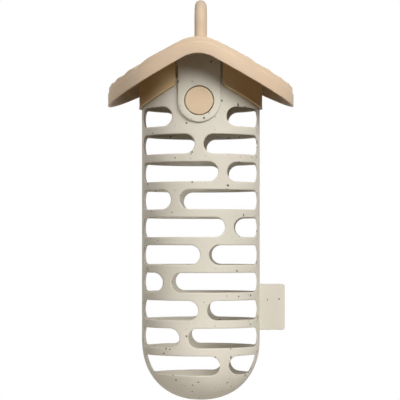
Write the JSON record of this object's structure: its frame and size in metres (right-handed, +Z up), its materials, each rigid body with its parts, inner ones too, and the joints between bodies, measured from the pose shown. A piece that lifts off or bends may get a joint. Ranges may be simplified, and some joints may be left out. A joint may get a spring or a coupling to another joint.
{
  "type": "suet ball feeder",
  "caption": "Hanging suet ball feeder: a slotted round-bottomed tub under a round, rolled gable roof, held by two press buttons, with a rod loop on top and a flat side tag.",
  "frame": {"origin": "where the hook bears, at the underside of the hanging loop's crown, on the feeder's centre line", "axes": "+Z up; -Y towards the pictured front with a release button; +X to the viewer's right, the side with the tag; the roof's ridge and the loop lie along Y"},
  "size_m": [0.1636, 0.1636, 0.352],
  "materials": {
    "roof_plastic": "matte moulded, warm beige",
    "loop_plastic": "matte moulded, warm beige",
    "collar_plastic": "matte moulded, warm beige",
    "button_plastic": "matte moulded, warm beige",
    "speckled_plastic": "matte recycled off-white with sparse dark flecks",
    "screw_steel": "zinc plated"
  },
  "bodies": {
    "lid": {"roof_shell": "roof_plastic", "hanging_loop": "loop_plastic", "loop_screws": "screw_steel", "neck_collar": "collar_plastic", "lid_screws": "screw_steel"},
    "front_button": {"front_latch": "button_plastic"},
    "rear_button": {"rear_latch": "button_plastic"},
    "basket": {"basket": "speckled_plastic", "side_tag": "speckled_plastic"}
  },
  "joints": [
    {"name": "front_press", "type": "slide", "parent": "lid", "child": "front_button", "axis": [0, 1, 0], "range_m": [0, 0.0055], "stiffness_N_per_m": 2500, "deforming": ["front_latch"]},
    {"name": "rear_press", "type": "slide", "parent": "lid", "child": "rear_button", "axis": [0, -1, 0], "range_m": [0, 0.0055], "stiffness_N_per_m": 2500, "deforming": ["rear_latch"]},
    {"name": "basket_pull_off", "type": "slide", "parent": "lid", "child": "basket", "axis": [0, 0, -1], "range_m": [0, 0.15]}
  ]
}
